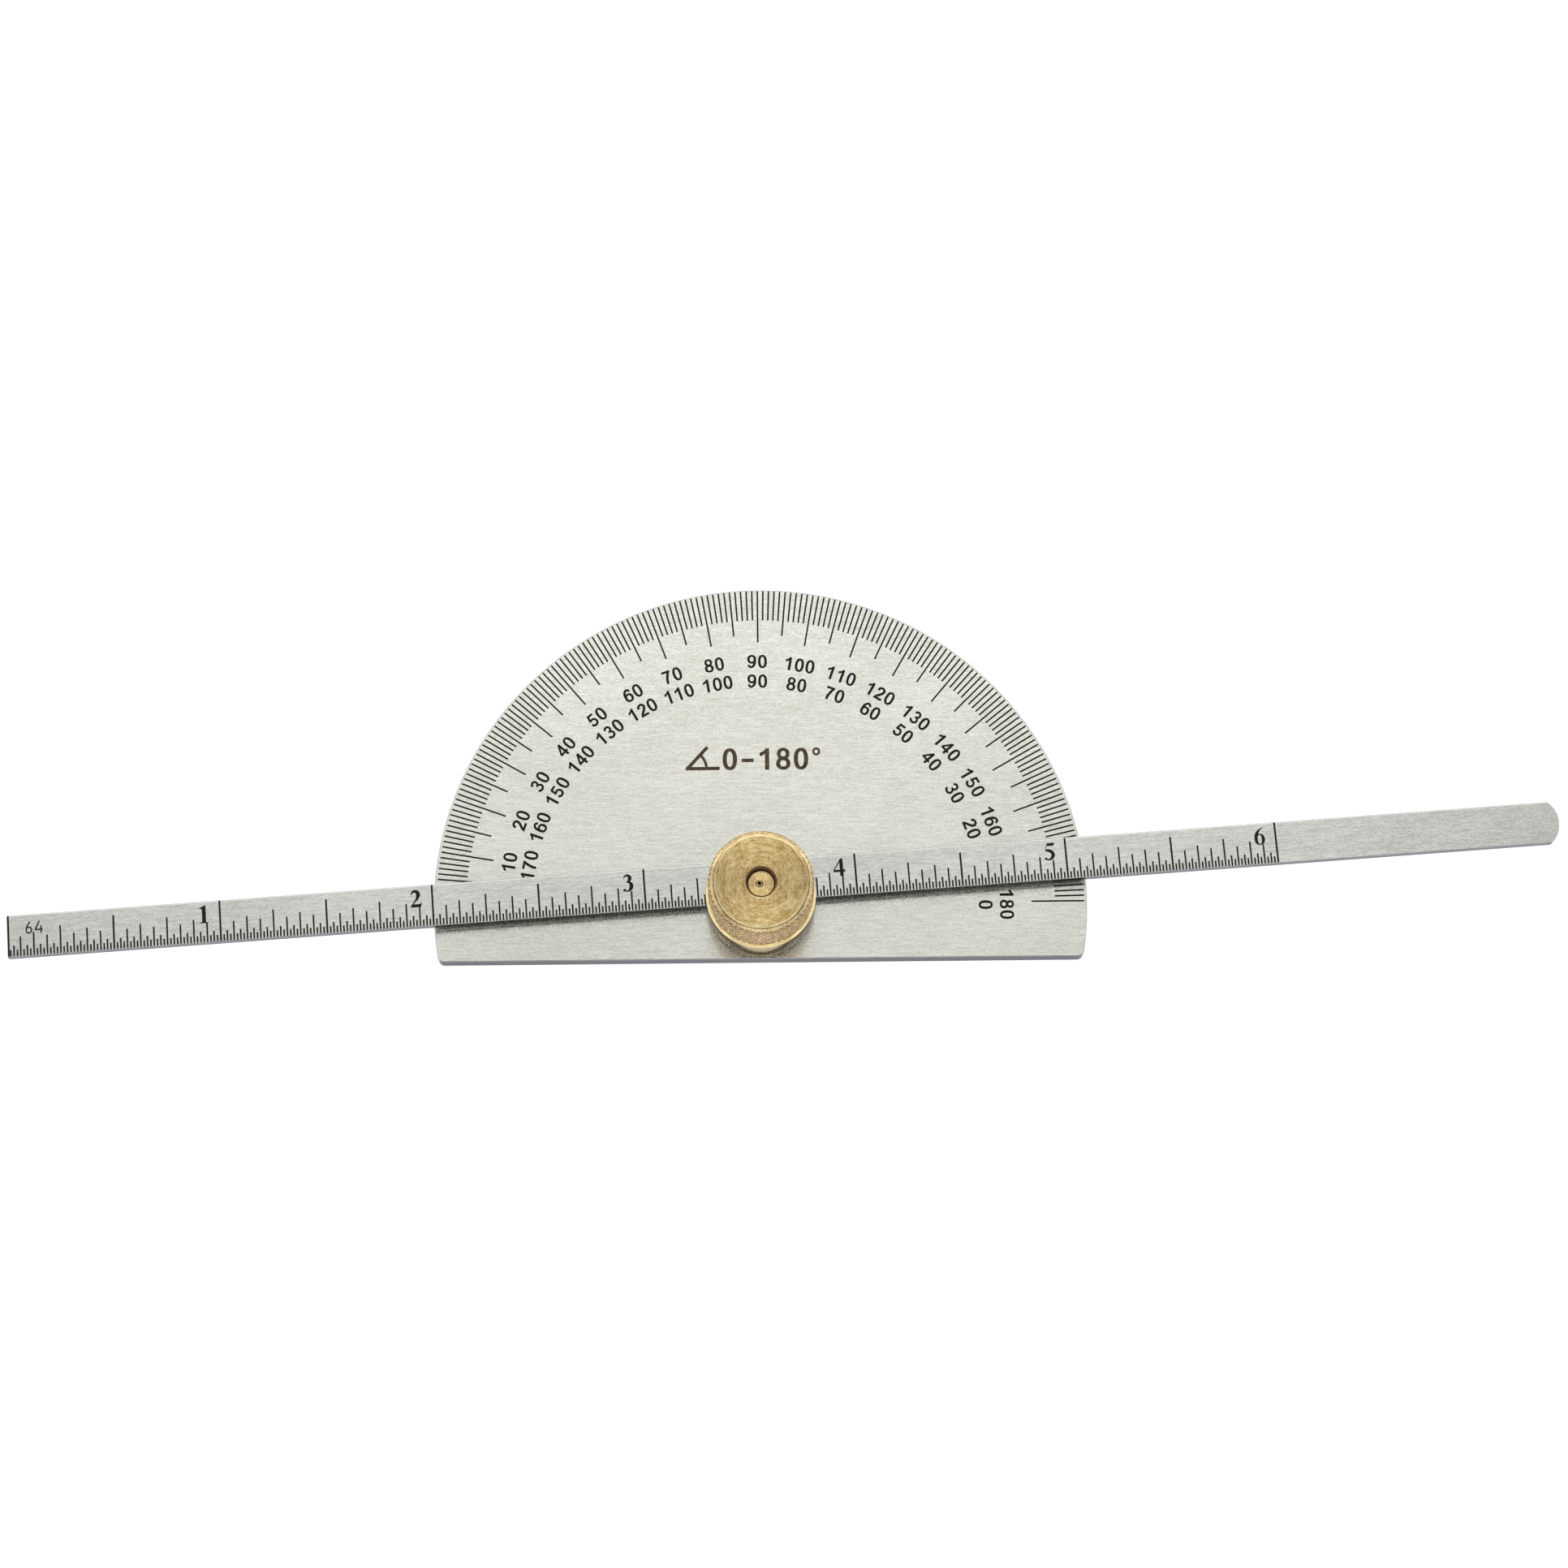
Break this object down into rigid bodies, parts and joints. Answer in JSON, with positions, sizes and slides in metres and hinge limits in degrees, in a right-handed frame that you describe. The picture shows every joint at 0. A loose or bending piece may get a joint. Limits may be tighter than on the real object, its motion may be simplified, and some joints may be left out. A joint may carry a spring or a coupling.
{
  "type": "protractor",
  "caption": "Semicircular steel protractor with a sliding graduated rule that swings on a central pivot and is locked by a knurled brass nut.",
  "frame": {"origin": "on the pivot axis, in the plane of the head plate's back face", "axes": "+Z out of the graduated face, +Y from the pivot towards the 90 degree mark, X along the straight datum edge with the rule's zero end on the -X side"},
  "size_m": [0.1866, 0.0464, 0.0125],
  "materials": {
    "head_steel": "straight-grained satin stainless steel with black etched degree marks",
    "rule_steel": "straight-grained satin stainless steel with black etched inch marks",
    "stud_brass": "turned, centre-drilled end",
    "washer_brass": "turned",
    "collar_brass": "turned, smooth wall",
    "nut_brass": "turned face, knurled wall",
    "etched_black": "matt black fill of the etched marks and numerals",
    "etched_brown": "matt brown electro-etched mark"
  },
  "bodies": {
    "head": {"head_plate": "head_steel"},
    "swivel": {"swivel_stud": "stud_brass", "rule_washer": "washer_brass"},
    "rule": {"rule_blade": "rule_steel"},
    "collar": {"slotted_collar": "collar_brass"},
    "nut": {"knurled_nut": "nut_brass"}
  },
  "joints": [
    {"name": "rule_swing", "type": "hinge", "parent": "head", "child": "swivel", "pos_m": [0, 0, 0], "axis": [0, 0, 1], "continuous": true},
    {"name": "rule_slide", "type": "slide", "parent": "swivel", "child": "rule", "axis": [0.9978, 0.0663, 0], "range_m": [-0.09, 0.083]},
    {"name": "collar_lift", "type": "slide", "parent": "swivel", "child": "collar", "axis": [0, 0, 1], "range_m": [0, 0.0014]},
    {"name": "nut_turn", "type": "hinge", "parent": "collar", "child": "nut", "pos_m": [0, 0, 0], "axis": [0, 0, 1], "range_deg": [0, 720]}
  ],
  "couplings": [
    {"joint": "nut_turn", "follows": "collar_lift", "rad_per_m": 8976}
  ]
}
